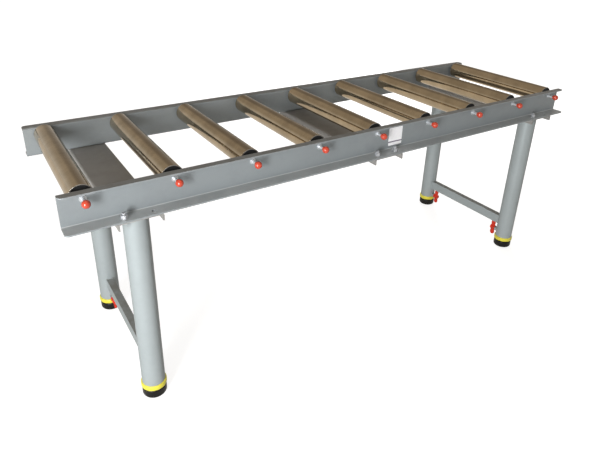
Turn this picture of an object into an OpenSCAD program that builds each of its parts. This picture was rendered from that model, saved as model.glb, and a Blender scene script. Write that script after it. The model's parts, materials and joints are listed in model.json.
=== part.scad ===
// Roller conveyor table: two sheet-metal rails carry a row of free-turning rollers
// on fixed axles. Two leg frames with telescopic legs hold the rails.
// X runs along the rails, -Y is the operator's side, Z is up, the floor is z = 0.

/* [Table] */
// Length of the two side rails
rail_l = 2000; // [1700:10:2400]
// Clear width between the webs of the two rails
clear_w = 522; // [400:2:700]
// Height of the rail tops above the floor, feet pushed in
top_h = 740; // [690:5:900]

/* [Rails] */
// Height of a rail over its flanges
rail_h = 95; // [85:1:120]
// Sheet thickness of the rails
rail_t = 4; // [3:0.5:5]
// Width of the top flange, from the web's outer face
top_flange_w = 25; // [18:1:35]
// Width of the bottom flange, from the web's outer face
bottom_flange_w = 45; // [42:1:60]
// Outer radius of the sheet bends
bend_r = 7; // [6:0.5:9]
// Radius of the flanges' outer corners at the rail ends
corner_r = 12; // [4:1:16]

/* [Rollers] */
// Outside diameter of a roller tube
roller_d = 65; // [54:1:70]
// Wall of a roller tube
roller_wall = 3; // [2:0.5:4]
// How far the roller tops stand above the rail tops
roller_rise = 8; // [2:0.5:10]
// Gap between a roller's end and the web beside it
roller_side_gap = 11; // [7:0.5:16]
// Distance from a rail's end to the axis of the nearest roller
roller_end_in = 60; // [45:1:110]
// Length of the plug in each end of a roller
housing_l = 14; // [13:0.5:20]
// How deep the plug sits inside the end of the tube
housing_in = 3; // [1:0.5:4]
// Width of the lip that stops a bearing inside its plug
plug_lip = 3; // [2:0.5:5]
// Chamfer on the ends of a roller tube
tube_chamfer = 1; // [0.5:0.25:1.5]

/* [Bearings and axles] */
// Diameter of an axle and bore of its bearings
axle_d = 12; // [10:0.5:14]
// Outside diameter of a ball bearing
bearing_d = 32; // [28:1:36]
// Width of a ball bearing
bearing_w = 10; // [8:0.5:11]
// Wall of a bearing's inner and outer ring
bearing_ring_t = 3; // [2:0.25:3.5]
// Depth of the seal below the faces of the rings
seal_in = 0.6; // [0.3:0.1:1]
// Wall of the spacer between bearing and web
spacer_wall = 2.5; // [2:0.25:4]
// Clearance of the axle holes in the webs, on the diameter
axle_hole_clear = 0.3; // [0.1:0.1:0.6]
// Diameter of the axle's slimmer front end
stub_d = 10; // [7:0.5:12]
// Length of full axle that stands out past the web
axle_out = 6; // [4:0.5:10]
// Thickness of a retaining clip
clip_t = 1.2; // [0.8:0.1:2]
// Depth of the clip's groove in the axle
clip_groove = 0.6; // [0.3:0.1:1]
// Radial width of a clip outside the axle
clip_w = 3.5; // [2:0.5:5]
// Width of the slot in a clip
clip_slot = 6; // [4:0.5:8]
// Diameter of the ball cap on the front end of an axle
ball_d = 22; // [18:1:24]
// Diameter of the collar behind the ball
ball_neck_d = 14; // [13:0.5:17]

/* [Cross channels] */
// Width of a cross channel
channel_w = 120; // [110:1:140]
// Depth of a cross channel
channel_h = 22; // [18:1:35]
// Sheet thickness of a cross channel
channel_t = 4; // [3:0.5:5]
// How far a channel's end stays inside the bottom flange's edge
channel_end_in = 2; // [0:0.5:6]
// Distance of the middle channel from the middle of the rails
middle_channel_x = 25; // [-60:5:60]
// Distance between a channel's two bolt holes on one rail
bolt_spacing = 76; // [70:1:84]
// Distance from a bottom flange's outer edge to its bolt holes
bolt_edge = 20; // [16:1:24]
// Diameter of the channel bolts
bolt_d = 10; // [8:0.5:12]
// Clearance of the bolt holes on the diameter
bolt_clear = 1; // [0.5:0.1:2]
// Width of the bolt heads and nuts across their flats
hex_af = 17; // [15:0.5:19]
// Height of a bolt head
head_h = 6.4; // [5:0.1:8]
// Height of a nut
nut_h = 8; // [6:0.5:10]
// Outside diameter of a washer
washer_d = 20; // [19:0.5:24]
// Thickness of a washer
washer_t = 2; // [1:0.25:3]
// Length of thread that stands out past a nut
thread_out = 6; // [2:0.5:12]

/* [Legs] */
// Outside diameter of an outer leg tube
leg_d = 70; // [68:1:80]
// Wall of an outer leg tube
leg_wall = 3; // [2:0.25:3.5]
// Distance from the left rail ends to the left legs' axes
left_legs_in = 185; // [150:5:320]
// Distance from the right rail ends to the right legs' axes
right_legs_in = 140; // [120:5:320]
// How far the leg axes lie inside the webs' outer faces
leg_in = 20; // [10:1:60]
// Wall of an inner leg tube
inner_wall = 3; // [2:0.25:4]
// How far an inner leg can be pulled out
leg_travel = 350; // [250:5:390]
// Length of inner leg that stays in the outer leg
leg_grip = 160; // [120:5:200]
// Height of a brace tube
brace_h = 40; // [25:1:50]
// Width of a brace tube
brace_w = 25; // [15:1:30]
// Wall of a brace tube
brace_wall = 2; // [1.5:0.25:3]
// Height of a brace's underside above the knobs' wing tips
brace_up = 1; // [1:1:110]

/* [Feet] */
// How far a rubber foot stands out from the outer leg's wall
foot_out = 2; // [0:0.5:4]
// Height of a rubber foot
foot_h = 32.7; // [28:0.1:34]
// Thickness of rubber under an inner leg tube
foot_sole = 12; // [6:1:16]
// Depth of the foot's middle below its upper edge
foot_dish = 2; // [1:0.5:6]
// Rounding of a foot's lower edge
foot_round = 9; // [3:0.5:11]
// Rounding of a foot's upper edge
foot_top_round = 7; // [2:0.5:8]
// How far a guide bush's ring stands out from the outer leg's wall
ring_out = 4; // [1:0.5:6]
// Height of a guide bush's ring
ring_h = 17; // [12:0.5:20]
// Rounding of the ring's edges
ring_round = 4; // [1:0.5:5]
// Length of a guide bush's sleeve
sleeve_l = 42; // [38:1:60]
// Wall of a guide bush's sleeve
sleeve_wall = 1.6; // [1:0.1:4]

/* [Clamps] */
// Diameter of a clamp screw
screw_d = 10; // [8:0.5:12]
// Height of a clamp screw above the outer leg's lower end
clamp_up = 12; // [12:1:25]
// Clearance round a clamp screw in the leg and the bush
screw_clear = 0.5; // [0.3:0.1:1]
// Diameter of the threaded boss on an outer leg
boss_d = 20; // [17:0.5:22]
// How far the boss stands out from the outer leg
boss_l = 12; // [8:0.5:18]
// Gap between the boss and the knob, clamped
knob_gap = 3; // [1:0.5:5]
// Diameter of a knob's hub
hub_d = 22; // [18:0.5:26]
// Length of a knob's hub
hub_l = 24; // [23:0.5:28]
// Rounding of a hub's outer edge
hub_round = 5; // [1:0.5:6]
// How deep a screw goes into its knob
screw_in = 14; // [8:0.5:15]
// Length of a knob over its two wings
wing_span = 72; // [56:1:90]
// Width of a wing near its tip
wing_w = 21; // [16:0.5:22]
// Width of a wing at the hub
wing_root_w = 15; // [10:0.5:16]
// Thickness of a wing
wing_t = 8; // [5:0.5:10]

/* [Label] */
// Width of the label on the front rail
label_w = 60; // [40:1:80]
// Height of the label
label_h = 64; // [40:1:68]
// Thickness of the label
label_t = 0.4; // [0.2:0.1:0.8]
// Corner radius of the label
label_r = 2; // [0.5:0.5:6]
// Distance of the label's middle from the middle of the rail
label_x = 83; // [45:1:155]

/* [Fits] */
// Radial clearance where one piece turns in or on another
run_gap = 0.05; // [0.02:0.01:0.1]
// Radial gap between an inner leg and the bush that guides it
slide_gap = 0.3; // [0.2:0.05:0.5]
// Gap between a bush's sleeve and the outer leg
sleeve_gap = 0.1; // [0:0.05:0.3]
// Gap between end faces that move past or towards each other
end_gap = 0.3; // [0.2:0.05:0.5]

/* [Hidden] */

$fn = 96;
eps = 0.01;          // overlap of a cut past the face it opens
through = 2;         // how far a drill runs past the sheet
roller_count = 9;    // each roller has nodes of its own

half_clear = clear_w / 2;
half_w = half_clear + rail_t;
half_all = half_w + bottom_flange_w;
rail_z = top_h - rail_h;
channel_z = rail_z - channel_t;

roller_pitch = (rail_l - 2 * roller_end_in) / (roller_count - 1);
roller_z = top_h + roller_rise - roller_d / 2;
roller_half = half_clear - roller_side_gap;
plug_y = roller_half - housing_in;
roller_xs = [for (i = [0 : roller_count - 1]) -rail_l / 2 + roller_end_in + i * roller_pitch];
ball_y = half_all - ball_d / 2;

left_x = -rail_l / 2 + left_legs_in;
right_x = rail_l / 2 - right_legs_in;
channel_xs = [left_x, middle_channel_x, right_x];
leg_y = half_w - leg_in;
bolt_y = half_all - bolt_edge;

leg_r = leg_d / 2;
leg_bore_r = leg_r - leg_wall;
sleeve_r = leg_bore_r - sleeve_gap;
bush_bore_r = sleeve_r - sleeve_wall;
inner_r = bush_bore_r - slide_gap;
inner_l = leg_travel + leg_grip;
ring_z = foot_h + end_gap;
leg_z = ring_z + ring_h;
clamp_z = leg_z + clamp_up;
brace_z = clamp_z + wing_span / 2 + brace_up;

boss_y = leg_r + boss_l;
knob_y = boss_y + knob_gap;
tip_y = inner_r + end_gap;

// where a bolt sits in a channel: the leg channels use one hole of two on each rail
bolt_places = concat(
    [for (x = [left_x, right_x]) for (s = [-1, 1]) [x - bolt_spacing / 2, s * bolt_y]],
    [for (dx = [-1, 1]) for (s = [-1, 1]) [middle_channel_x + dx * bolt_spacing / 2, s * bolt_y]]
);
leg_places = [for (x = [left_x, right_x]) for (s = [-1, 1]) [x, s]];

// quarter of a bent sheet, its outer face towards -x and +y
module bend(r, t) {
    intersection() {
        difference() {
            circle(r);
            circle(r - t);
        }
        translate([-r, 0]) square(r);
    }
}

// section of a rail: x outwards from the web's inner face, y up from the underside
module rail_section() {
    translate([0, bend_r]) square([rail_t, rail_h - 2 * bend_r]);
    translate([bend_r, rail_h - bend_r]) bend(bend_r, rail_t);
    translate([bend_r, bend_r]) mirror([0, 1]) bend(bend_r, rail_t);
    translate([bend_r, rail_h - rail_t]) square([rail_t + top_flange_w - bend_r, rail_t]);
    translate([bend_r, 0]) square([rail_t + bottom_flange_w - bend_r, rail_t]);
}

// what is cut off a flange's corner at +X, its outer edge at y
module corner_cut(y, z) {
    translate([rail_l / 2 - corner_r, y - corner_r, z - eps])
        difference() {
            cube([corner_r + eps, corner_r + eps, rail_t + 2 * eps]);
            translate([0, 0, -eps]) cylinder(r = corner_r, h = rail_t + 4 * eps);
        }
}

// a hole along Y through a web
module web_hole(d) {
    translate([0, half_clear - through, 0]) rotate([-90, 0, 0])
        cylinder(d = d, h = rail_t + 2 * through);
}

// a hole along Z through a flange and the channel under it
module bolt_hole() {
    translate([0, 0, channel_z - through])
        cylinder(d = bolt_d + bolt_clear, h = channel_t + rail_t + 2 * through);
}

// the two bolt holes of one channel on one rail
module bolt_hole_pair() {
    for (dx = [-1, 1]) translate([dx * bolt_spacing / 2, 0, 0]) bolt_hole();
}

// the rail on the +Y side
module rail() {
    difference() {
        translate([-rail_l / 2, half_clear, rail_z])
            rotate([90, 0, 90]) linear_extrude(rail_l) rail_section();
        for (m = [0, 1]) mirror([m, 0, 0]) {
            corner_cut(half_all, rail_z);
            corner_cut(half_w + top_flange_w, top_h - rail_t);
        }
        for (x = roller_xs) translate([x, 0, roller_z]) web_hole(axle_d + axle_hole_clear);
        for (x = channel_xs) translate([x, bolt_y, 0]) bolt_hole_pair();
    }
}

module front_rail() {
    color([0.62, 0.66, 0.67]) mirror([0, 1, 0]) rail();
}

module back_rail() {
    color([0.62, 0.66, 0.67]) rail();
}

// section of a cross channel: top face at y = 0, flanges downwards
module channel_section() {
    translate([-channel_w / 2 + bend_r, -channel_t]) square([channel_w - 2 * bend_r, channel_t]);
    for (m = [0, 1]) mirror([m, 0]) {
        translate([-channel_w / 2 + bend_r, -bend_r]) bend(bend_r, channel_t);
        translate([-channel_w / 2, -channel_h]) square([channel_t, channel_h - bend_r]);
    }
}

module cross_channel(x) {
    color([0.45, 0.44, 0.41]) difference() {
        translate([x, 0, rail_z]) rotate([90, 0, 0])
            linear_extrude(2 * (half_all - channel_end_in), center = true) channel_section();
        for (s = [-1, 1]) translate([x, s * bolt_y, 0]) bolt_hole_pair();
    }
}

// a drill along Y at a clamp, from the leg's axis towards the table's middle
module clamp_drill(d, l) {
    translate([0, 0, clamp_z]) rotate([-90, 0, 0]) cylinder(d = d, h = l);
}

// puts a leg's piece, drawn with the table's middle towards +Y, at its place
module at_leg(x, side) {
    translate([x, side * leg_y, 0]) mirror([0, side > 0 ? 1 : 0, 0]) children();
}

module outer_leg(x, side) {
    color([0.66, 0.7, 0.7]) at_leg(x, side) difference() {
        translate([0, 0, leg_z]) cylinder(r = leg_r, h = channel_z - leg_z);
        translate([0, 0, leg_z - eps]) cylinder(r = leg_bore_r, h = channel_z - leg_z + 2 * eps);
        clamp_drill(screw_d + 2 * screw_clear, boss_y);
    }
}

// a rectangular tube between the two legs of a frame, fitted to their round walls
module brace(x) {
    color([0.58, 0.6, 0.59]) difference() {
        translate([x - brace_w / 2, -leg_y, brace_z]) cube([brace_w, 2 * leg_y, brace_h]);
        translate([x - brace_w / 2 + brace_wall, -leg_y - eps, brace_z + brace_wall])
            cube([brace_w - 2 * brace_wall, 2 * (leg_y + eps), brace_h - 2 * brace_wall]);
        for (s = [-1, 1]) translate([x, s * leg_y, brace_z - eps])
            cylinder(r = leg_r, h = brace_h + 2 * eps);
    }
}

// half section of a round block with rounded lower and upper outer edges
module block_section(r, h, low, high) {
    square([r - low, h / 2]);
    translate([0, h / 2]) square([r - high, h / 2]);
    translate([0, low]) square([r, h - low - high]);
    translate([r - low, low]) circle(low);
    translate([r - high, h - high]) circle(high);
}

// plastic bush in the foot of an outer leg: a ring outside and a sleeve inside
module guide_bush(x, side) {
    color([0.9, 0.85, 0.2]) at_leg(x, side) difference() {
        union() {
            translate([0, 0, ring_z]) rotate_extrude()
                block_section(leg_r + ring_out, ring_h, ring_round, ring_round);
            translate([0, 0, ring_z + ring_h / 2]) cylinder(r = sleeve_r, h = ring_h / 2 + sleeve_l);
        }
        translate([0, 0, ring_z - eps])
            cylinder(r = bush_bore_r, h = ring_h + sleeve_l + 2 * eps);
        clamp_drill(screw_d + 2 * screw_clear, boss_y);
    }
}

// threaded bosses for the clamp screws, on the legs' inner sides
module clamp_bosses() {
    color([0.6, 0.63, 0.63]) for (p = leg_places) at_leg(p[0], p[1]) difference() {
        clamp_drill(boss_d, boss_y);
        translate([0, 0, clamp_z - boss_d]) cylinder(r = leg_r, h = 2 * boss_d);
        clamp_drill(screw_d + 2 * run_gap, boss_y + eps);
    }
}

module inner_leg(x, side) {
    color([0.72, 0.73, 0.74]) at_leg(x, side) translate([0, 0, foot_sole]) difference() {
        cylinder(r = inner_r, h = inner_l);
        translate([0, 0, -eps]) cylinder(r = inner_r - inner_wall, h = inner_l + 2 * eps);
    }
}

// half section of a foot: a rounded block with a groove for the inner leg
module foot_section() {
    bore_r = inner_r - inner_wall;
    difference() {
        block_section(leg_r + foot_out, foot_h, foot_round, foot_top_round);
        translate([bore_r, foot_sole]) square([inner_wall, foot_h]);
        translate([0, foot_h - foot_dish]) square([bore_r + eps, foot_h]);
    }
}

module rubber_foot(x, side) {
    color([0.12, 0.12, 0.12]) at_leg(x, side) rotate_extrude() foot_section();
}

module clamp_screw(x, side) {
    color([0.75, 0.76, 0.78]) at_leg(x, side)
        translate([0, tip_y, clamp_z]) rotate([-90, 0, 0])
            cylinder(d = screw_d, h = knob_y + screw_in - tip_y);
}

// one wing: a paddle, narrow at the hub and round at its tip
module wing_shape() {
    tip_z = wing_span / 2 - wing_w / 2;
    polygon([
        [-wing_root_w / 2, 0], [wing_root_w / 2, 0],
        [wing_w / 2, tip_z], [-wing_w / 2, tip_z]
    ]);
    translate([0, tip_z]) circle(d = wing_w);
}

module wing_knob(x, side) {
    color([0.82, 0.2, 0.15]) at_leg(x, side) difference() {
        translate([0, knob_y, clamp_z]) {
            rotate([-90, 0, 0]) rotate_extrude() hub_section();
            translate([0, hub_l / 2, 0]) for (m = [0, 1]) mirror([0, 0, m])
                rotate([90, 0, 90]) linear_extrude(wing_t, center = true) wing_shape();
        }
        translate([0, knob_y - eps, clamp_z]) rotate([-90, 0, 0])
            cylinder(d = screw_d + 2 * run_gap, h = screw_in + end_gap + eps);
    }
}

// half section of a knob's hub, its outer edge rounded
module hub_section() {
    square([hub_d / 2, hub_l - hub_round]);
    square([hub_d / 2 - hub_round, hub_l]);
    translate([hub_d / 2 - hub_round, hub_l - hub_round]) circle(hub_round);
}

// turns a piece that is drawn along +Z from the table's middle to run along Y
module at_axle(x, side) {
    translate([x, 0, roller_z]) mirror([0, side > 0 ? 0 : 1, 0]) rotate([-90, 0, 0]) children();
}

module roller_tube(i) {
    r = roller_d / 2;
    bore_r = r - roller_wall;
    color([0.7, 0.66, 0.6]) at_axle(roller_xs[i], 1) rotate_extrude() polygon([
        [bore_r, -roller_half], [r - tube_chamfer, -roller_half],
        [r, -roller_half + tube_chamfer], [r, roller_half - tube_chamfer],
        [r - tube_chamfer, roller_half], [bore_r, roller_half]
    ]);
}

// black plugs in both ends of a roller, each with a seat for a bearing
module roller_end_plugs(i) {
    plug_r = roller_d / 2 - roller_wall;
    seat_r = bearing_d / 2 + run_gap;
    seat_l = bearing_w + end_gap;
    color([0.14, 0.14, 0.15]) for (s = [-1, 1]) at_axle(roller_xs[i], s)
        rotate_extrude() translate([0, plug_y]) polygon([
            [seat_r, 0], [plug_r, 0], [plug_r, -housing_l], [seat_r - plug_lip, -housing_l],
            [seat_r - plug_lip, -seat_l], [seat_r, -seat_l]
        ]);
}

// half section of a bearing: two rings with the seal set back between them
module bearing_section() {
    translate([axle_d / 2, -bearing_w]) square([bearing_ring_t, bearing_w]);
    translate([bearing_d / 2 - bearing_ring_t, -bearing_w]) square([bearing_ring_t, bearing_w]);
    translate([axle_d / 2, -bearing_w + seal_in])
        square([(bearing_d - axle_d) / 2, bearing_w - 2 * seal_in]);
}

module ball_bearings() {
    color([0.7, 0.71, 0.73]) for (x = roller_xs) for (s = [-1, 1]) at_axle(x, s)
        rotate_extrude() translate([0, plug_y]) bearing_section();
}

// fixed axles: full size between the clips, slimmer at the front for the ball cap
module axles() {
    groove_d = axle_d - 2 * clip_groove;
    axle_half = half_w + axle_out;
    color([0.75, 0.76, 0.78]) for (x = roller_xs) difference() {
        union() {
            at_axle(x, 1) translate([0, 0, -axle_half]) cylinder(d = axle_d, h = 2 * axle_half);
            at_axle(x, -1) cylinder(d = stub_d, h = ball_y);
        }
        for (s = [-1, 1]) at_axle(x, s) translate([0, 0, half_w]) difference() {
            cylinder(d = axle_d + 2 * eps, h = clip_t);
            translate([0, 0, -eps]) cylinder(d = groove_d, h = clip_t + 2 * eps);
        }
    }
}

// sleeves that hold the bearings off the webs
module axle_spacers() {
    color([0.72, 0.73, 0.75]) for (x = roller_xs) for (s = [-1, 1]) at_axle(x, s)
        translate([0, 0, plug_y]) difference() {
            cylinder(d = axle_d + 2 * spacer_wall, h = half_clear - plug_y);
            translate([0, 0, -eps]) cylinder(d = axle_d, h = half_clear - plug_y + 2 * eps);
        }
}

// snap rings outside the webs that keep the axles from moving endways
module axle_clips() {
    clip_d = axle_d + 2 * clip_w;
    color([0.35, 0.35, 0.36]) for (x = roller_xs) for (s = [-1, 1]) at_axle(x, s)
        translate([0, 0, half_w]) difference() {
            cylinder(d = clip_d, h = clip_t);
            translate([0, 0, -eps]) cylinder(d = axle_d - 2 * clip_groove, h = clip_t + 2 * eps);
            translate([-clip_slot / 2, 0, -eps]) cube([clip_slot, clip_d, clip_t + 2 * eps]);
        }
}

// red balls pushed on the axles' front ends
module axle_ball_caps() {
    neck_l = ball_y - half_w - axle_out;
    color([0.85, 0.2, 0.14]) for (x = roller_xs) at_axle(x, -1) difference() {
        union() {
            translate([0, 0, ball_y]) sphere(d = ball_d);
            translate([0, 0, ball_y - ball_d / 2]) cylinder(d = ball_neck_d, h = ball_d / 2);
        }
        translate([0, 0, ball_y - neck_l]) cylinder(d = stub_d, h = neck_l);
    }
}

// a hexagonal prism, its flats hex_af apart
module hex(h) {
    rotate([0, 0, 30]) cylinder(d = hex_af / cos(30), h = h, $fn = 6);
}

module channel_bolts() {
    shank_top = rail_z + rail_t + washer_t + nut_h + thread_out;
    color([0.78, 0.79, 0.8]) for (p = bolt_places) translate([p[0], p[1], channel_z]) {
        translate([0, 0, -head_h]) hex(head_h);
        translate([0, 0, -eps]) cylinder(d = bolt_d, h = shank_top - channel_z + eps);
    }
}

module channel_nuts() {
    color([0.8, 0.81, 0.82]) for (p = bolt_places)
        translate([p[0], p[1], rail_z + rail_t + washer_t]) difference() {
            hex(nut_h);
            translate([0, 0, -eps]) cylinder(d = bolt_d, h = nut_h + 2 * eps);
        }
}

module channel_washers() {
    color([0.8, 0.81, 0.82]) for (p = bolt_places)
        translate([p[0], p[1], rail_z + rail_t]) difference() {
            cylinder(d = washer_d, h = washer_t);
            translate([0, 0, -eps]) cylinder(d = bolt_d + bolt_clear / 2, h = washer_t + 2 * eps);
        }
}

// bare sticker on the front rail's web
module blank_label() {
    color([0.92, 0.93, 0.95]) translate([label_x, -half_w, rail_z + rail_h / 2])
        rotate([90, 0, 0]) linear_extrude(label_t) {
            square([label_w - 2 * label_r, label_h], center = true);
            square([label_w, label_h - 2 * label_r], center = true);
            for (sx = [-1, 1]) for (sy = [-1, 1])
                translate([sx * (label_w / 2 - label_r), sy * (label_h / 2 - label_r)])
                    circle(label_r);
        }
}

front_rail();
back_rail();
cross_channel(left_x);  // left_cross_channel
cross_channel(middle_channel_x);  // middle_cross_channel
cross_channel(right_x);  // right_cross_channel
outer_leg(left_x, -1);  // front_left_outer_leg
outer_leg(left_x, 1);  // back_left_outer_leg
outer_leg(right_x, -1);  // front_right_outer_leg
outer_leg(right_x, 1);  // back_right_outer_leg
brace(left_x);  // left_brace
brace(right_x);  // right_brace
guide_bush(left_x, -1);  // front_left_guide_bush
guide_bush(left_x, 1);  // back_left_guide_bush
guide_bush(right_x, -1);  // front_right_guide_bush
guide_bush(right_x, 1);  // back_right_guide_bush
clamp_bosses();
inner_leg(left_x, -1);  // front_left_inner_leg
inner_leg(left_x, 1);  // back_left_inner_leg
inner_leg(right_x, -1);  // front_right_inner_leg
inner_leg(right_x, 1);  // back_right_inner_leg
rubber_foot(left_x, -1);  // front_left_rubber_foot
rubber_foot(left_x, 1);  // back_left_rubber_foot
rubber_foot(right_x, -1);  // front_right_rubber_foot
rubber_foot(right_x, 1);  // back_right_rubber_foot
clamp_screw(left_x, -1);  // front_left_clamp_screw
clamp_screw(left_x, 1);  // back_left_clamp_screw
clamp_screw(right_x, -1);  // front_right_clamp_screw
clamp_screw(right_x, 1);  // back_right_clamp_screw
wing_knob(left_x, -1);  // front_left_wing_knob
wing_knob(left_x, 1);  // back_left_wing_knob
wing_knob(right_x, -1);  // front_right_wing_knob
wing_knob(right_x, 1);  // back_right_wing_knob
roller_tube(0);  // roller_1_tube
roller_tube(1);  // roller_2_tube
roller_tube(2);  // roller_3_tube
roller_tube(3);  // roller_4_tube
roller_tube(4);  // roller_5_tube
roller_tube(5);  // roller_6_tube
roller_tube(6);  // roller_7_tube
roller_tube(7);  // roller_8_tube
roller_tube(8);  // roller_9_tube
roller_end_plugs(0);  // roller_1_end_plugs
roller_end_plugs(1);  // roller_2_end_plugs
roller_end_plugs(2);  // roller_3_end_plugs
roller_end_plugs(3);  // roller_4_end_plugs
roller_end_plugs(4);  // roller_5_end_plugs
roller_end_plugs(5);  // roller_6_end_plugs
roller_end_plugs(6);  // roller_7_end_plugs
roller_end_plugs(7);  // roller_8_end_plugs
roller_end_plugs(8);  // roller_9_end_plugs
ball_bearings();
axles();
axle_spacers();
axle_clips();
axle_ball_caps();
channel_bolts();
channel_nuts();
channel_washers();
blank_label();
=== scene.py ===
import bmesh
import bpy
import json
import math
import random
from mathutils import Matrix, Vector

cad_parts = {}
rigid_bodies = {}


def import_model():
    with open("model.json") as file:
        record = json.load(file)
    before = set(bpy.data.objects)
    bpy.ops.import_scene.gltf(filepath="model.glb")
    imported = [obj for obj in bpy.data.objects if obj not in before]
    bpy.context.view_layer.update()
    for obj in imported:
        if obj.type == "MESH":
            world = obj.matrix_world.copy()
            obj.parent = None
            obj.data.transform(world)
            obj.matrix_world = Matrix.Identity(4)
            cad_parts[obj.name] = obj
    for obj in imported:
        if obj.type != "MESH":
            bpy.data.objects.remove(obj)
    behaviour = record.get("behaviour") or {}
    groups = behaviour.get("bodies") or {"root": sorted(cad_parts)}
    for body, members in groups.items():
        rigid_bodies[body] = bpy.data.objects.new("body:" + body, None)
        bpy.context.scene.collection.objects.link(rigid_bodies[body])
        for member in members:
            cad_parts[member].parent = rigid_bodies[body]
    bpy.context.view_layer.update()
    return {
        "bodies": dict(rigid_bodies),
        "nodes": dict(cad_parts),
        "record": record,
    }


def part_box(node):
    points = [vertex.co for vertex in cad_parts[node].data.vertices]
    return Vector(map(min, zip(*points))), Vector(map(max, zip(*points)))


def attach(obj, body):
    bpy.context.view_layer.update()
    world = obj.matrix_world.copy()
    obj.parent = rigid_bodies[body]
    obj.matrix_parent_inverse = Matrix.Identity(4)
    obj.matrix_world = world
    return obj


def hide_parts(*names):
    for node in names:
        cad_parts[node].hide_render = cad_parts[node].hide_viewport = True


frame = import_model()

nodes = frame["nodes"]
mm = 0.001
white = (1.0, 1.0, 1.0, 1.0)
rollerCount = 9
corners = [side + "_" + end for end in ("left", "right") for side in ("front", "back")]
print("frame loaded:", len(nodes), "nodes")


# Camera

cameraSettings = {
    "place": (-1.139, -1.5206, 1.3285),  # metres
    "yaw": 33.58,  # degrees from +Y towards +X
    "pitch": 24.22,  # degrees downwards
    "roll": 1.57,  # degrees
    "focalPixels": 534.3,  # focal length in pixels of the picture
    "pictureWide": 600,
    "pictureTall": 450,
    "centreRow": 170,  # row that the optical axis meets
    "sensorWide": 36,  # millimetres
    "farthest": 200,
}


def makeCamera(settings):
    yaw, pitch, roll = (math.radians(settings[key]) for key in ("yaw", "pitch", "roll"))
    ahead = Vector((math.sin(yaw) * math.cos(pitch), math.cos(yaw) * math.cos(pitch), -math.sin(pitch)))
    right = Vector((math.cos(yaw), -math.sin(yaw), 0))
    up = right.cross(ahead)
    tiltedRight = right * math.cos(roll) + up * math.sin(roll)
    tiltedUp = up * math.cos(roll) - right * math.sin(roll)
    data = bpy.data.cameras.new("photoCamera")
    data.sensor_width = settings["sensorWide"]
    data.lens = settings["focalPixels"] / settings["pictureWide"] * data.sensor_width
    data.shift_y = (settings["centreRow"] - settings["pictureTall"] / 2) / settings["pictureWide"]
    data.clip_end = settings["farthest"]
    camera = bpy.data.objects.new("photoCamera", data)
    turn = Matrix((tiltedRight, tiltedUp, -ahead)).transposed()
    camera.matrix_world = Matrix.Translation(settings["place"]) @ turn.to_4x4()
    bpy.context.scene.collection.objects.link(camera)
    bpy.context.scene.camera = camera


makeCamera(cameraSettings)
print("camera placed")


# Short ways to build node trees

def addNode(tree, kind, inputs=None, **settings):
    node = tree.nodes.new(kind)
    for key, value in settings.items():
        setattr(node, key, value)
    for key, value in (inputs or {}).items():
        if isinstance(value, bpy.types.NodeSocket):
            tree.links.new(value, node.inputs[key])
        else:
            node.inputs[key].default_value = value
    return node


def calc(tree, operation, a, b=0.0, clamp=False):
    node = addNode(tree, "ShaderNodeMath", {0: a, 1: b}, operation=operation, use_clamp=clamp)
    return node.outputs[0]


def times(tree, a, b):
    return calc(tree, "MULTIPLY", a, b)


def vectorCalc(tree, operation, a, b=(0, 0, 0), output=0):
    node = addNode(tree, "ShaderNodeVectorMath", {0: a, 1: b}, operation=operation)
    return node.outputs[output]


def noise(tree, where, scale, detail=3.0, roughness=0.5):
    inputs = {"Vector": where, "Scale": scale, "Detail": detail, "Roughness": roughness}
    return addNode(tree, "ShaderNodeTexNoise", inputs).outputs["Fac"]


def remap(tree, value, fromLow, fromHigh, toLow=0.0, toHigh=1.0, smooth=True):
    inputs = {"Value": value, "From Min": fromLow, "From Max": fromHigh, "To Min": toLow, "To Max": toHigh}
    kind = "SMOOTHSTEP" if smooth else "LINEAR"
    return addNode(tree, "ShaderNodeMapRange", inputs, interpolation_type=kind).outputs["Result"]


def between(tree, mask, low, high):
    # a value that goes evenly from low to high with a mask
    return remap(tree, mask, 0.0, 1.0, low, high, smooth=False)


def mixColour(tree, amount, low, high, blend="MIX"):
    inputs = {0: amount, 6: low, 7: high}
    node = addNode(tree, "ShaderNodeMix", inputs, data_type="RGBA", blend_type=blend)
    return node.outputs[2]


def shade(colour, factor):
    return tuple(min(channel * factor, 1.0) for channel in colour[:3]) + (1.0,)


def restPlace(tree):
    return addNode(tree, "ShaderNodeTexCoord").outputs["Object"]


def component(tree, vector, axis):
    return addNode(tree, "ShaderNodeSeparateXYZ", {0: vector}).outputs[axis]


def facing(tree, axis):
    # how much a face looks along one axis
    return component(tree, addNode(tree, "ShaderNodeNewGeometry").outputs["Normal"], axis)


def newGroup(name, inputs, outputs):
    tree = bpy.data.node_groups.new(name, "ShaderNodeTree")
    for socketName, kind, value in inputs:
        socket = tree.interface.new_socket(socketName, in_out="INPUT", socket_type="NodeSocket" + kind)
        if value is not None:
            socket.default_value = value
    for socketName, kind in outputs:
        tree.interface.new_socket(socketName, in_out="OUTPUT", socket_type="NodeSocket" + kind)
    return tree, tree.nodes.new("NodeGroupInput"), tree.nodes.new("NodeGroupOutput")


def useGroup(tree, group, inputs=None):
    return addNode(tree, "ShaderNodeGroup", inputs, node_tree=group)


# Effects that several finishes share

edgeWearSettings = {
    "radius": 0.001,
    "breakup": 60.0,
    "rays": 6,
    "likeness": (0.998, 0.93),  # of the two normals, where the wear starts and where it is full
    "patchDetail": (4.0, 0.65),
    "patches": (0.42, 0.66),  # range of the noise that breaks the wear up
}


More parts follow.
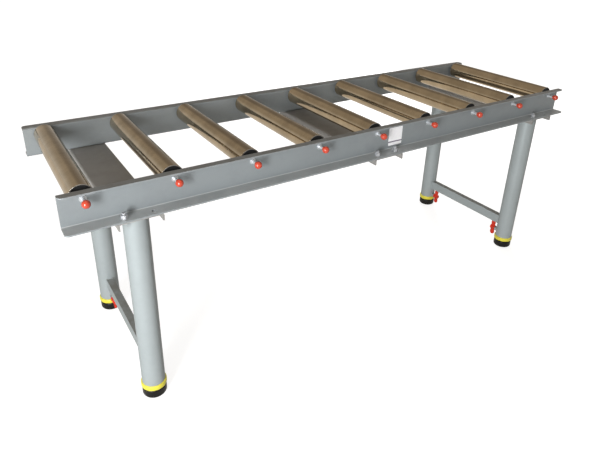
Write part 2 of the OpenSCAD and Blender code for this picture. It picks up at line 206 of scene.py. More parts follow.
def makeEdgeWear(settings):
    # finds sharp edges by comparing the true normal with a rounded one
    tree, start, end = newGroup("edgeWear", [
        ("Where", "Vector", None), ("Radius", "Float", settings["radius"]),
        ("Breakup", "Float", settings["breakup"]),
    ], [("Mask", "Float")])
    radius = {"Radius": start.outputs["Radius"]}
    rounded = addNode(tree, "ShaderNodeBevel", radius, samples=settings["rays"]).outputs["Normal"]
    flat = addNode(tree, "ShaderNodeNewGeometry").outputs["Normal"]
    likeness = vectorCalc(tree, "DOT_PRODUCT", rounded, flat, output=1)
    nearEdge = remap(tree, likeness, *settings["likeness"])
    patches = noise(tree, start.outputs["Where"], start.outputs["Breakup"], *settings["patchDetail"])
    tree.links.new(times(tree, nearEdge, remap(tree, patches, *settings["patches"])), end.inputs["Mask"])
    return tree


paintSkinSettings = {
    "peel": 450.0,
    "peelDetail": 2.0,
    "cloud": 5.0,
    "cloudDetail": (4.0, 0.6),  # detail and roughness of a noise
    "cloudSpread": 0.5,  # how far the clouds and the flecks move the tone either way
    "fleck": 2600.0,
    "fleckDetail": 1.0,
    "fleckSpread": 0.35,
    "glossPatches": 14.0,
    "glossDetail": (5.0, 0.7),
    "range": (0.3, 0.7),  # of each noise
}


def makePaintSkin(settings):
    # a sprayed coat: cloudy tone, fine orange peel and a changing gloss
    tree, start, end = newGroup("paintSkin", [
        ("Where", "Vector", None), ("Peel", "Float", settings["peel"]),
        ("Cloud", "Float", settings["cloud"]),
    ], [("Tone", "Float"), ("Height", "Float"), ("Gloss", "Float")])
    where, low, high = start.outputs["Where"], *settings["range"]
    cloud = noise(tree, where, start.outputs["Cloud"], *settings["cloudDetail"])
    cloud = remap(tree, cloud, low, high, -settings["cloudSpread"], settings["cloudSpread"])
    fleck = noise(tree, where, settings["fleck"], settings["fleckDetail"])
    fleck = remap(tree, fleck, low, high, -settings["fleckSpread"], settings["fleckSpread"])
    tree.links.new(calc(tree, "ADD", cloud, fleck), end.inputs["Tone"])
    peel = noise(tree, where, start.outputs["Peel"], settings["peelDetail"])
    tree.links.new(peel, end.inputs["Height"])
    gloss = noise(tree, where, settings["glossPatches"], *settings["glossDetail"])
    tree.links.new(remap(tree, gloss, low, high), end.inputs["Gloss"])
    return tree


streakSettings = {
    "fineness": 300.0,
    "fineDetail": (6.0, 0.7),
    "fine": (0.3, 0.72),  # range of the noise
    "broadShare": 0.12,  # fineness of the broad streaks, as a share of the fine ones
    "broadDetail": (3.0, 0.55),
    "broad": (0.32, 0.68),
}


def makeStreaks(settings):
    # marks drawn out along one axis, which the caller squeezes with Stretch
    tree, start, end = newGroup("drawnStreaks", [
        ("Where", "Vector", None), ("Stretch", "Vector", (1.0, 1.0, 1.0)),
        ("Fineness", "Float", settings["fineness"]),
    ], [("Mask", "Float"), ("Broad", "Float")])
    where = vectorCalc(tree, "MULTIPLY", start.outputs["Where"], start.outputs["Stretch"])
    fine = noise(tree, where, start.outputs["Fineness"], *settings["fineDetail"])
    fewer = times(tree, start.outputs["Fineness"], settings["broadShare"])
    broad = noise(tree, where, fewer, *settings["broadDetail"])
    tree.links.new(remap(tree, fine, *settings["fine"]), end.inputs["Mask"])
    tree.links.new(remap(tree, broad, *settings["broad"]), end.inputs["Broad"])
    return tree


smudgeSettings = {
    "size": 9.0,
    "smallScale": 11.0,  # how much finer the small patches are
    "largeDetail": (5.0, 0.65),
    "smallDetail": (4.0, 0.6),
    "largeShare": 0.75,
    "smallShare": 0.25,
    "range": (0.42, 0.66),
}


def makeSmudge(settings):
    # handling marks: large soft patches broken up by small ones
    tree, start, end = newGroup("smudge", [
        ("Where", "Vector", None), ("Size", "Float", settings["size"]),
    ], [("Mask", "Float")])
    where, size = start.outputs["Where"], start.outputs["Size"]
    large = noise(tree, where, size, *settings["largeDetail"])
    small = noise(tree, where, times(tree, size, settings["smallScale"]), *settings["smallDetail"])
    large = times(tree, large, settings["largeShare"])
    both = calc(tree, "ADD", large, times(tree, small, settings["smallShare"]))
    tree.links.new(remap(tree, both, *settings["range"]), end.inputs["Mask"])
    return tree


threadPitch = 0.0015


def makeThread():
    # the crests of a screw thread along one axis; Along is that axis' coordinate in metres
    tree, start, end = newGroup("threadCrests", [
        ("Along", "Float", 0.0), ("Pitch", "Float", threadPitch),
    ], [("Height", "Float")])
    halfTurn = 0.5
    turns = calc(tree, "DIVIDE", start.outputs["Along"], start.outputs["Pitch"])
    wave = calc(tree, "PINGPONG", turns, halfTurn)
    tree.links.new(times(tree, wave, 1 / halfTurn), end.inputs["Height"])
    return tree


edgeWear = makeEdgeWear(edgeWearSettings)
paintSkin = makePaintSkin(paintSkinSettings)
drawnStreaks = makeStreaks(streakSettings)
smudge = makeSmudge(smudgeSettings)
threadCrests = makeThread()


# Finishes

def newMaterial(name):
    material = bpy.data.materials.new(name)
    material.use_nodes = True
    tree = material.node_tree
    return material, tree, tree.nodes["Principled BSDF"], restPlace(tree)


def smudges(tree, where, size):
    return useGroup(tree, smudge, {"Where": where, "Size": size}).outputs["Mask"]


def wornEdges(tree, where, radius, breakup):
    return useGroup(tree, edgeWear, {"Where": where, "Radius": radius, "Breakup": breakup}).outputs["Mask"]


def toned(tree, amount, settings):
    # the finish's own colour, a little darker or lighter
    dark, light = settings["tones"]
    return mixColour(tree, amount, shade(settings["colour"], dark), shade(settings["colour"], light))


def bump(tree, shader, height, depth, strength):
    inputs = {"Strength": strength, "Distance": depth, "Height": height}
    node = addNode(tree, "ShaderNodeBump", inputs)
    tree.links.new(node.outputs["Normal"], shader.inputs["Normal"])


def makePaint(name, settings):
    material, tree, shader, where = newMaterial(name)
    coat = {"Where": where, "Peel": settings["peel"], "Cloud": settings["cloud"]}
    skin = useGroup(tree, paintSkin, coat).outputs
    marks = times(tree, smudges(tree, where, settings["smudgeSize"]), settings["smudge"])
    colour = toned(tree, remap(tree, skin["Tone"], -1.0, 1.0, smooth=False), settings)
    colour = mixColour(tree, marks, colour, shade(settings["colour"], settings["smudgeShade"]))
    level, up = facing(tree, 2), component(tree, where, 2)
    # dust on level faces near the bottom
    ledge = times(tree, remap(tree, level, *settings["dustFacing"]),
                  remap(tree, up, settings["dustTop"], settings["dustTop"] - mm))
    film = times(tree, between(tree, skin["Gloss"], *settings["dustFilm"]), settings["dust"])
    colour = mixColour(tree, times(tree, ledge, film), colour, settings["dustColour"])
    # painted highlight: a light line along the bend over the bottom flange, in place of bright light
    # mirrored in the fillet
    bend = times(tree, remap(tree, level, *settings["bendFacing"]),
                 remap(tree, level, *settings["bendEnd"]))
    bend = times(tree, bend, remap(tree, up, settings["bendTop"], settings["bendTop"] - mm))
    colour = mixColour(tree, times(tree, bend, settings["bendHighlight"]), colour, settings["bendHighlightColour"])
    # painted shade: level faces near the top are darkened
    topShadeMask = times(tree, remap(tree, level, *settings["topShadeFacing"]),
                   remap(tree, up, settings["topShadeFrom"], settings["topShadeFrom"] + mm))
    topShadeMask = times(tree, topShadeMask, between(tree, skin["Gloss"], *settings["topShadeBreakup"]))
    colour = mixColour(tree, times(tree, topShadeMask, settings["topShade"]), colour, settings["topShadeColour"])
    wear = times(tree, wornEdges(tree, where, settings["edge"], settings["edgeBreakup"]), settings["wear"])
    tree.links.new(mixColour(tree, wear, colour, settings["bare"]), shader.inputs["Base Color"])
    tree.links.new(between(tree, skin["Gloss"], *settings["rough"]), shader.inputs["Roughness"])
    shader.inputs["Metallic"].default_value = settings["metallic"]
    shader.inputs["Specular IOR Level"].default_value = settings["shine"]
    shader.inputs["Specular Tint"].default_value = settings["edgeTint"]
    bump(tree, shader, skin["Height"], settings["peelDepth"], settings["peelStrength"])
    return material


railLow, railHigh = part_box("front_rail")
railPaintSettings = {
    "colour": (0.27, 0.298, 0.312, 1.0),
    "tones": (0.95, 1.05),  # darkest and lightest share of the colour
    "bare": (0.60, 0.61, 0.62, 1.0),  # steel at worn edges
    "metallic": 0.12,
    "shine": 0.35,
    "edgeTint": white,  # what a glancing view reflects
    "rough": (0.34, 0.46),
    "smudge": 0.25,
    "smudgeSize": 7.0,
    "smudgeShade": 0.72,
    "wear": 0.7,
    "edge": 0.0012,
    "edgeBreakup": 70.0,
    "peel": 420.0,
    "peelDepth": 0.00012,
    "peelStrength": 0.5,
    "cloud": 4.0,
    "dust": 0.75,
    "dustColour": (0.52, 0.54, 0.54, 1.0),
    "dustFacing": (0.6, 0.95),  # how far up a face has to look
    "dustFilm": (0.6, 1.0),  # thinnest and thickest film
    "dustTop": railLow.z + 9 * mm,  # dust lies below this height
    "bendHighlight": 0.8,
    "bendHighlightColour": (0.50, 0.53, 0.54, 1.0),  # painted highlight along the bend over the bottom flange
    "bendFacing": (0.15, 0.45),
    "bendEnd": (0.92, 0.75),
    "bendTop": railLow.z + 12 * mm,
    "topShade": 0.75,
    "topShadeColour": (0.155, 0.14, 0.12, 1.0),  # painted shade on the top flanges
    "topShadeFacing": (0.3, 0.8),
    "topShadeBreakup": (0.55, 1.0),
    "topShadeFrom": railHigh.z - 5 * mm,
}
channelPaintSettings = dict(
    railPaintSettings, colour=(0.31, 0.305, 0.295, 1.0), smudge=0.4, rough=(0.30, 0.44),
    dust=0.0, bendHighlight=0.0, topShade=0.0)
legPaintSettings = dict(  # its painted top shade darkens the tops of the braces
    railPaintSettings, colour=(0.375, 0.417, 0.428, 1.0), cloud=6.0, smudge=0.2, metallic=0.2, shine=0.08,
    edgeTint=(0.3, 0.3, 0.3, 1.0), dust=0.0, bendHighlight=0.0, topShadeFrom=0.0)


def makeRollerSteel(settings):
    # bright tube: a cloudy tone, and hair scratches round it from polishing; its warm tan is partly the
    # steel's own tone and partly a painted reflection of a brown room
    material, tree, shader, where = newMaterial("rollerSteel")
    streaks = {"Where": where, "Stretch": settings["stretch"], "Fineness": settings["fineness"]}
    around = useGroup(tree, drawnStreaks, streaks).outputs["Mask"]
    marks = smudges(tree, where, settings["markSize"])
    cloud = noise(tree, where, settings["cloud"], *settings["cloudDetail"])
    cloud = remap(tree, cloud, *settings["cloudRange"])
    colour = mixColour(tree, cloud, settings["dark"], settings["light"])
    scratches = times(tree, remap(tree, around, *settings["scratchRange"]), settings["scratched"])
    colour = mixColour(tree, scratches, colour, settings["stain"])
    colour = mixColour(tree, times(tree, marks, settings["stainAmount"]), colour, settings["stain"])
    cut = remap(tree, calc(tree, "ABSOLUTE", facing(tree, 1)), *settings["cutFacing"])
    tree.links.new(mixColour(tree, cut, colour, settings["cutEnd"]), shader.inputs["Base Color"])
    rough = between(tree, around, *settings["rough"])
    rough = calc(tree, "ADD", rough, times(tree, marks, settings["markRough"]))
    rough = calc(tree, "ADD", rough, times(tree, cut, settings["cutRough"]))
    tree.links.new(rough, shader.inputs["Roughness"])
    shader.inputs["Metallic"].default_value = 1.0
    bump(tree, shader, around, settings["scratchDepth"], settings["scratchStrength"])
    return material


rollerSteelSettings = {
    # painted reflection: the warm tan of these two tones stands in for a brown room mirrored in the steel
    "dark": (0.48, 0.388, 0.265, 1.0),
    "light": (0.60, 0.485, 0.332, 1.0),
    "cloud": 11.0,
    "cloudDetail": (4.0, 0.6),
    "cloudRange": (0.3, 0.7),
    "stain": (0.26, 0.20, 0.13, 1.0),
    "stainAmount": 0.35,
    "markSize": 8.0,
    "stretch": (0.05, 1.0, 0.05),
    "fineness": 900.0,
    "scratched": 0.1,  # how much the hair scratches darken it
    "scratchRange": (0.62, 0.2),
    "scratchDepth": 0.00001,
    "scratchStrength": 0.25,
    "cutEnd": (0.40, 0.38, 0.35, 1.0),  # the turned ends of the tube
    "cutFacing": (0.4, 0.6),
    "rough": (0.07, 0.14),
    "markRough": 0.07,  # added to the roughness by marks, and by the turned ends
    "cutRough": 0.4,
}


def makeMetal(name, settings):
    # plated or machined steel; "threadAxis" gives it a thread along that axis
    material, tree, shader, where = newMaterial(name)
    streaks = {"Where": where, "Stretch": settings["stretch"], "Fineness": settings["fineness"]}
    streaks = useGroup(tree, drawnStreaks, streaks).outputs
    marks = times(tree, smudges(tree, where, settings["markSize"]), settings["markAmount"])
    wear = times(tree, wornEdges(tree, where, settings["edge"], settings["edgeBreakup"]), settings["wear"])
    colour = mixColour(tree, marks, toned(tree, streaks["Broad"], settings), settings["dull"])
    colour = mixColour(tree, wear, colour, shade(settings["colour"], settings["wornShade"]))
    tree.links.new(colour, shader.inputs["Base Color"])
    tree.links.new(between(tree, streaks["Mask"], *settings["rough"]), shader.inputs["Roughness"])
    shader.inputs["Metallic"].default_value = settings["metallic"]
    if "threadAxis" in settings:
        along = component(tree, where, settings["threadAxis"])
        crests = useGroup(tree, threadCrests, {"Along": along, "Pitch": threadPitch}).outputs["Height"]
        bump(tree, shader, crests, settings["threadDepth"], settings["threadStrength"])
    else:
        bump(tree, shader, streaks["Mask"], settings["grainDepth"], settings["grainStrength"])
    return material


zincSettings = {
    "colour": (0.62, 0.64, 0.67, 1.0),
    "tones": (0.86, 1.12),
    "dull": (0.42, 0.43, 0.44, 1.0),
    "rough": (0.22, 0.38),
    "metallic": 0.9,
    "stretch": (1.0, 1.0, 1.0),
    "fineness": 700.0,
    "grainDepth": 0.00002,
    "grainStrength": 0.4,
    "markSize": 40.0,
    "markAmount": 0.35,
    "edge": 0.0005,
    "edgeBreakup": 200.0,
    "wear": 0.5,
    "wornShade": 1.3,
}
innerLegSettings = dict(
    zincSettings, colour=(0.47, 0.49, 0.505, 1.0), dull=(0.31, 0.325, 0.335, 1.0), rough=(0.26, 0.40),
    stretch=(1.0, 1.0, 0.03), fineness=420.0)
axleSettings = dict(
    zincSettings, colour=(0.74, 0.77, 0.80, 1.0), stretch=(1.0, 0.03, 1.0), rough=(0.30, 0.42),
    metallic=0.55)
bearingSettings = dict(zincSettings, colour=(0.60, 0.60, 0.61, 1.0), rough=(0.12, 0.22))
clipSettings = dict(zincSettings, colour=(0.56, 0.59, 0.62, 1.0), rough=(0.34, 0.46), metallic=0.6)
screwSettings = dict(zincSettings, threadAxis=1, threadDepth=0.0005, threadStrength=0.8)


def makeBoltZinc(settings):
    # the thread shows only on the shank above the nuts
    material, tree, shader, where = newMaterial("boltZinc")
    up = component(tree, where, 2)
    upright = remap(tree, calc(tree, "ABSOLUTE", facing(tree, 2)), *settings["shankFacing"])
    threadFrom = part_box("channel_nuts")[1].z
    shank = times(tree, remap(tree, up, threadFrom, threadFrom + settings["threadFade"]), upright)
    marks = smudges(tree, where, settings["markSize"])
    wear = times(tree, wornEdges(tree, where, settings["edge"], settings["edgeBreakup"]), settings["wear"])
    colour = mixColour(tree, marks, settings["colour"], settings["dull"])
    colour = mixColour(tree, wear, colour, shade(settings["colour"], settings["wornShade"]))
    tree.links.new(colour, shader.inputs["Base Color"])
    tree.links.new(between(tree, marks, *settings["rough"]), shader.inputs["Roughness"])
    shader.inputs["Metallic"].default_value = settings["metallic"]
    crests = useGroup(tree, threadCrests, {"Along": up, "Pitch": threadPitch}).outputs["Height"]
    bump(tree, shader, times(tree, crests, shank), settings["threadDepth"], settings["threadStrength"])
    return material


boltSettings = {
    "colour": (0.52, 0.54, 0.57, 1.0),
    "dull": (0.36, 0.38, 0.39, 1.0),
    "rough": (0.38, 0.52),
    "metallic": 0.6,
    "markSize": 60.0,
    "edge": 0.0006,
    "edgeBreakup": 150.0,
    "wear": 0.6,
    "wornShade": 1.25,
    "shankFacing": (0.5, 0.2),
    "threadFade": 0.0003,
    "threadDepth": 0.0006,
    "threadStrength": 0.9,
}


def makePlastic(name, settings):
    material, tree, shader, where = newMaterial(name)
    marks = smudges(tree, where, settings["markSize"])
    wear = times(tree, wornEdges(tree, where, settings["edge"], settings["edgeBreakup"]), settings["scuff"])
    colour = toned(tree, noise(tree, where, settings["cloud"]), settings)
    dirt = shade(settings["colour"], settings["dirtShade"])
    colour = mixColour(tree, times(tree, marks, settings["dirt"]), colour, dirt)
    tree.links.new(mixColour(tree, wear, colour, settings["scuffColour"]), shader.inputs["Base Color"])
    tree.links.new(between(tree, marks, *settings["rough"]), shader.inputs["Roughness"])
    shader.inputs["Coat Weight"].default_value = settings["coat"]
    shader.inputs["Coat Roughness"].default_value = settings["coatRough"]
    shader.inputs["Specular IOR Level"].default_value = settings["shine"]
    grain = noise(tree, where, settings["grain"], *settings["grainDetail"])
    bump(tree, shader, grain, settings["grainDepth"], settings["grainStrength"])
    return material


ballPlasticSettings = {
    "colour": (0.57, 0.06, 0.028, 1.0),
    "tones": (0.92, 1.08),
    "cloud": 90.0,
    "rough": (0.18, 0.32),
    "coat": 0.35,
    "coatRough": 0.12,
    "shine": 0.5,
    "dirt": 0.25,
    "dirtShade": 0.6,
    "markSize": 60.0,
    "scuff": 0.2,
    "scuffColour": (0.75, 0.25, 0.2, 1.0),
    "edge": 0.0008,
    "edgeBreakup": 180.0,
    "grain": 900.0,
    "grainDetail": (3.0, 0.6),
    "grainDepth": 0.00003,
    "grainStrength": 0.5,
}
knobPlasticSettings = dict(
    ballPlasticSettings, colour=(0.66, 0.04, 0.02, 1.0), rough=(0.30, 0.44), coat=0.0, shine=0.25,
    grain=1400.0, grainDepth=0.00006, scuff=0.35)
bushPlasticSettings = dict(
    ballPlasticSettings, colour=(0.78, 0.70, 0.07, 1.0), rough=(0.34, 0.50), coat=0.0, dirt=0.3,
    scuffColour=(0.85, 0.8, 0.4, 1.0))
plugPlasticSettings = dict(
    ballPlasticSettings, colour=(0.018, 0.018, 0.019, 1.0), rough=(0.40, 0.55), coat=0.0,
    scuffColour=(0.08, 0.08, 0.08, 1.0))


def makeRubber(settings):
    material, tree, shader, where = newMaterial("footRubber")
    # floor dust climbs the sides a little
    low = remap(tree, component(tree, where, 2), settings["dustTop"], 0.0)
    patches = smudges(tree, where, settings["patchSize"])
    dust = calc(tree, "ADD", times(tree, low, settings["dustLow"]), settings["dustAll"])
    dust = calc(tree, "MULTIPLY", dust, patches, clamp=True)
    tree.links.new(mixColour(tree, dust, settings["colour"], settings["dust"]), shader.inputs["Base Color"])
    rough = remap(tree, dust, 0.0, settings["dustLow"], *settings["rough"])
    tree.links.new(rough, shader.inputs["Roughness"])
    shader.inputs["Specular IOR Level"].default_value = settings["shine"]
    grain = noise(tree, where, settings["grain"], *settings["grainDetail"])
    grain = calc(tree, "ADD", grain, times(tree, patches, settings["patchHeight"]))
    bump(tree, shader, grain, settings["grainDepth"], settings["grainStrength"])
    return material


rubberSettings = {
    "colour": (0.006, 0.006, 0.006, 1.0),
    "dust": (0.045, 0.042, 0.037, 1.0),
    "dustTop": 0.012,
    "dustLow": 0.6,  # amount of dust at the floor, and all over
    "dustAll": 0.15,
    "patchSize": 45.0,
    "patchHeight": 0.4,
    "rough": (0.34, 0.75),
    "shine": 0.22,
    "grain": 700.0,
    "grainDetail": (4.0, 0.7),
    "grainDepth": 0.00015,
    "grainStrength": 0.6,
}


def makeLabelFilm(settings):
    # bare white film with one plain stripe near its lower edge
    material, tree, shader, where = newMaterial("labelFilm")
    low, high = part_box("blank_label")
    stripeAt = low.z + (high.z - low.z) * settings["stripeAt"]
    offset = calc(tree, "ABSOLUTE", calc(tree, "SUBTRACT", component(tree, where, 2), stripeAt))
    stripe = remap(tree, offset, settings["stripeHalf"] + settings["stripeFade"], settings["stripeHalf"])
    marks = smudges(tree, where, settings["markSize"])
    film = mixColour(tree, times(tree, marks, settings["markAmount"]), settings["film"], settings["grubby"])
    tree.links.new(mixColour(tree, stripe, film, settings["stripe"]), shader.inputs["Base Color"])
    tree.links.new(between(tree, marks, *settings["rough"]), shader.inputs["Roughness"])
    grain = noise(tree, where, settings["grain"], settings["grainDetail"])
    bump(tree, shader, grain, settings["grainDepth"], settings["grainStrength"])
    return material


labelSettings = {
    "film": (0.98, 0.98, 1.0, 1.0),
    "grubby": (0.80, 0.80, 0.86, 1.0),
    "markSize": 40.0,
    "markAmount": 0.3,
    "rough": (0.28, 0.45),
    "grain": 220.0,
    "grainDetail": 2.0,
    "grainDepth": 0.00008,
    "grainStrength": 0.4,
    "stripe": (0.17, 0.15, 0.20, 1.0),
    "stripeAt": 0.2,  # share of the label's height
    "stripeHalf": 0.0022,
    "stripeFade": 0.0003,
}

finishes = {
    "rail_paint": makePaint("railPaint", railPaintSettings),
    "channel_paint": makePaint("channelPaint", channelPaintSettings),
    "leg_paint": makePaint("legPaint", legPaintSettings),
    "roller_steel": makeRollerSteel(rollerSteelSettings),
    "inner_leg_zinc": makeMetal("innerLegZinc", innerLegSettings),
    "screw_zinc": makeMetal("screwZinc", screwSettings),
    "bearing_steel": makeMetal("bearingSteel", bearingSettings),
    "axle_steel": makeMetal("axleSteel", axleSettings),
    "spacer_zinc": makeMetal("spacerZinc", zincSettings),
    "clip_steel": makeMetal("clipSteel", clipSettings),
    "bolt_zinc": makeBoltZinc(boltSettings),
    "ball_plastic": makePlastic("ballPlastic", ballPlasticSettings),
    "knob_plastic": makePlastic("knobPlastic", knobPlasticSettings),
    "bush_plastic": makePlastic("bushPlastic", bushPlasticSettings),
    "plug_plastic": makePlastic("plugPlastic", plugPlasticSettings),
    "foot_rubber": makeRubber(rubberSettings),
    "label_film": makeLabelFilm(labelSettings),
}
slotOf = {entry["node"]: entry["material_slot"] for entry in frame["record"]["subparts"]}
for nodeName, node in nodes.items():
    for place in node.material_slots:
        place.material = finishes[slotOf[nodeName]]
print("finishes set:", len(finishes))


# Short ways to build meshes

def newObject(name, mesh):
    piece = bpy.data.objects.new(name, mesh)
    bpy.context.scene.collection.objects.link(piece)
    return piece


def newPiece(name, mesh, slotName, body):
    mesh.shade_smooth()
    mesh.materials.clear()
    mesh.materials.append(finishes[slotName])
    piece = newObject(name, mesh)
    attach(piece, body)
    return piece


def meshFrom(bm, name):
    bmesh.ops.recalc_face_normals(bm, faces=bm.faces)
    mesh = bpy.data.meshes.new(name)
    bm.to_mesh(mesh)
    bm.free()
    return mesh


def circle(radius, count):
    turns = [2 * math.pi * k / count for k in range(count)]
    return [(radius * math.cos(turn), radius * math.sin(turn)) for turn in turns]


def joinRings(bm, first, second):
    count = len(first)
    for k in range(count):
        bm.faces.new((first[k], first[(k + 1) % count], second[(k + 1) % count], second[k]))


def closeRings(bm, rings):
    # a solid from a row of rings, with its two ends filled
    for first, second in zip(rings, rings[1:]):
        joinRings(bm, first, second)
    bm.faces.new(rings[0])
    bm.faces.new(list(reversed(rings[-1])))


# Weld beads, which the frame has no solids for

weldSettings = {
    "legBead": 2.6 * mm,  # radius of the bead round a leg's top
    "legSink": 0.3,  # share of that radius by which it lies below the top
    "braceBead": 2.2 * mm,
    "braceCorner": 1.5 * mm,
    "bossBead": 1.3 * mm,
    "around": 8,
    "ripple": 2.4 * mm,  # length of one ripple
    "rippleSteps": 4,
    "rippleDepth": 0.16,  # share of the bead's radius
    "unevenness": 0.06,
    "seed": 7,
}


def sweepLoop(bm, path, radiusAt, around):
    # a closed tube along path, its radius changing from point to point
    rings = []
    count = len(path)
    for i, point in enumerate(path):
        ahead = (path[(i + 1) % count] - path[i - 1]).normalized()
        across = ahead.orthogonal() if i == 0 else across - ahead * across.dot(ahead)
        across.normalize()
        beside = ahead.cross(across)
        section = [(across * x + beside * y) * radiusAt(i) for x, y in circle(1.0, around)]
        rings.append([bm.verts.new(point + offset) for offset in section])
    for first, second in zip(rings, rings[1:]):
        joinRings(bm, first, second)
    # the last ring may have turned against the first
    shift = min(range(around), key=lambda k: (rings[0][k].co - rings[-1][0].co).length)
    joinRings(bm, rings[-1], rings[0][shift:] + rings[0][:shift])


def weldBead(name, path, bead, settings):
    # a row of overlapping ripples, as a torch leaves them
    chooser = random.Random(settings["seed"] + len(path))
    lengths = [(path[(i + 1) % len(path)] - path[i]).length for i in range(len(path))]
    ripples = max(1, round(sum(lengths) / settings["ripple"]))
    phases = []
    run = 0.0
    for length in lengths:
        phases.append(run / sum(lengths) * ripples)
        run += length
    most = settings["unevenness"]
    unevenness = [chooser.uniform(-most, most) for _ in path]

    def radiusAt(i):
        rise = phases[i] % 1.0 - 0.5  # each ripple rises, then drops back
        return bead * (1 + settings["rippleDepth"] * rise + unevenness[i])

    bm = bmesh.new()
    sweepLoop(bm, path, radiusAt, settings["around"])
    newPiece(name, meshFrom(bm, name), "leg_paint", "frame")


def saddlePath(centre, radius, inward, outline):
    # outline is in the plane across the leg; each point lies on the leg's round wall
    points = []
    for x, z in outline:
        y = math.sqrt(radius ** 2 - x ** 2)
        points.append(Vector((centre.x + x, centre.y + inward * y, z)))
    return points


def boxOutline(half, low, high, corner, step):
    # a rectangle with cut corners, walked at an even step
    points = []
    sides = [((-half + corner, low), (half - corner, low)),
             ((half, low + corner), (half, high - corner)),
             ((half - corner, high), (-half + corner, high)),
             ((-half, high - corner), (-half, low + corner))]
    for (x0, z0), (x1, z1) in sides:
        count = max(2, round(math.hypot(x1 - x0, z1 - z0) / step))
        points += [(x0 + (x1 - x0) * k / count, z0 + (z1 - z0) * k / count) for k in range(count + 1)]
    return points


def makeWelds(settings):
    step = settings["ripple"] / settings["rippleSteps"]
    braceLow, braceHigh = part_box("left_brace")
    halfBrace = (braceHigh.x - braceLow.x) / 2
    braceOutline = boxOutline(halfBrace, braceLow.z, braceHigh.z, settings["braceCorner"], step)
    screwLow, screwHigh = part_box("front_left_clamp_screw")
    screwZ = (screwLow.z + screwHigh.z) / 2
    bossLow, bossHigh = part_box("clamp_bosses")
    bossRadius = (bossHigh.z - bossLow.z) / 2
    bossOutline = [(x, screwZ + z) for x, z in circle(bossRadius, round(2 * math.pi * bossRadius / step))]
    for corner in corners:
        low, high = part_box(corner + "_outer_leg")
        centre, radius = Vector(((low.x + high.x) / 2, (low.y + high.y) / 2, 0)), (high.x - low.x) / 2
        inward = 1 if centre.y < 0 else -1
        ringZ = high.z - settings["legBead"] * settings["legSink"]
        ringPoints = circle(radius, round(2 * math.pi * radius / step))
        ring = [centre + Vector((x, y, ringZ)) for x, y in ringPoints]
        weldBead(corner + "_leg_weld", ring, settings["legBead"], settings)
        bracePath = saddlePath(centre, radius, inward, braceOutline)
        weldBead(corner + "_brace_weld", bracePath, settings["braceBead"], settings)
        bossPath = saddlePath(centre, radius, inward, bossOutline)
        weldBead(corner + "_boss_weld", bossPath, settings["bossBead"], settings)


makeWelds(weldSettings)
print("welds made")


# Roller tubes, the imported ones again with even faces, because a bright tube shows every uneven one

rollerShellSettings = {
    "around": 96,
    "edge": 0.9 * mm,  # rounding of the turned ends
    "edgeSteps": 4,
    "guard": 1 * mm,  # a row of faces beside the rounding keeps the shine straight
}


def tubeSection(inner, outer, start, end, settings):
    # the wall's section as a closed outline of radius and place
    edge, guard, steps = settings["edge"], settings["guard"], settings["edgeSteps"]
    points = []
    for radius, place, turn in ((outer - edge, start + edge, -90), (outer - edge, end - edge, 0),
                                (inner + edge, end - edge, 90), (inner + edge, start + edge, 180)):
        arc = []
        for k in range(steps + 1):
            angle = math.radians(turn + 90 * k / steps)
            arc.append((radius + edge * math.cos(angle), place + edge * math.sin(angle)))
        if turn in (-90, 90):  # the long wall comes after this corner
            arc.append((arc[-1][0], place + (guard if turn < 0 else -guard)))
        else:
            arc.insert(0, (arc[0][0], place + (-guard if turn == 0 else guard)))
        points += arc
    return points


def makeRollerShells(settings):
    for i in range(1, rollerCount + 1):
        name = "roller_%d_tube" % i
        low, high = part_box(name)
        plugLow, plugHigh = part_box("roller_%d_end_plugs" % i)
        inner, outer = (plugHigh.x - plugLow.x) / 2, (high.x - low.x) / 2
        centre = (low + high) / 2
        bm = bmesh.new()
        rings = []
        for radius, place in tubeSection(inner, outer, low.y, high.y, settings):
            points = circle(radius, settings["around"])
            rings.append([bm.verts.new((centre.x + x, place, centre.z + z)) for x, z in points])
        for first, second in zip(rings[-1:] + rings, rings):
            joinRings(bm, first, second)
        shellName = "roller_%d_shell" % i
        shell = newPiece(shellName, meshFrom(bm, shellName), "roller_steel", "roller_%d" % i)
        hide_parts(name)


makeRollerShells(rollerShellSettings)
print("roller tubes made")


# Wing knobs, moulded with soft edges in place of the plain solids

knobSettings = {
    "hubRadius": 11 * mm,
    "hubAround": 40,
    "collarLip": 1.2 * mm,  # step of the collar at the hub's inner end
    "collar": (0.6 * mm, 3 * mm, 4 * mm),  # where its full radius starts and ends, then the neck
    "neck": 0.6,  # share of the lip by which the neck is thinner
    "crown": (4.5 * mm, 1.6 * mm),  # from the outer end: where the two slopes start
    "crownInset": (1.2 * mm, 3.6 * mm),
    "wingThick": 8 * mm,
    "wingWide": 21 * mm,
    "rootWide": 15 * mm,
    "tipSteps": 24,
    # place of each slice of a wing, as a share of its thickness, and its inset
    "slices": ((-0.5, 0.18), (-0.36, 0.05), (-0.2, 0.0), (0.2, 0.0), (0.36, 0.05), (0.5, 0.18)),
    "tipInset": 0.35,  # share of a slice's inset that its tip takes
    "voxel": 0.7 * mm,
    "smoothing": 6,
}


def addHub(bm, settings, length):
    # a solid of revolution along +Y, closed at both ends
    hub, lip = settings["hubRadius"], settings["collarLip"]
    chamfer, collarEnd, neckStart = settings["collar"]
    slope, lastSlope = settings["crown"]
    crown, top = settings["crownInset"]
    neck = hub - lip * settings["neck"]
    rings = []
    for radius, place in ((hub - lip, 0), (hub, chamfer), (hub, collarEnd), (neck, neckStart),
                          (neck, length - slope), (hub - crown, length - lastSlope), (hub - top, length)):
        points = circle(radius, settings["hubAround"])
        rings.append([bm.verts.new((x, place, z)) for x, z in points])
    closeRings(bm, rings)


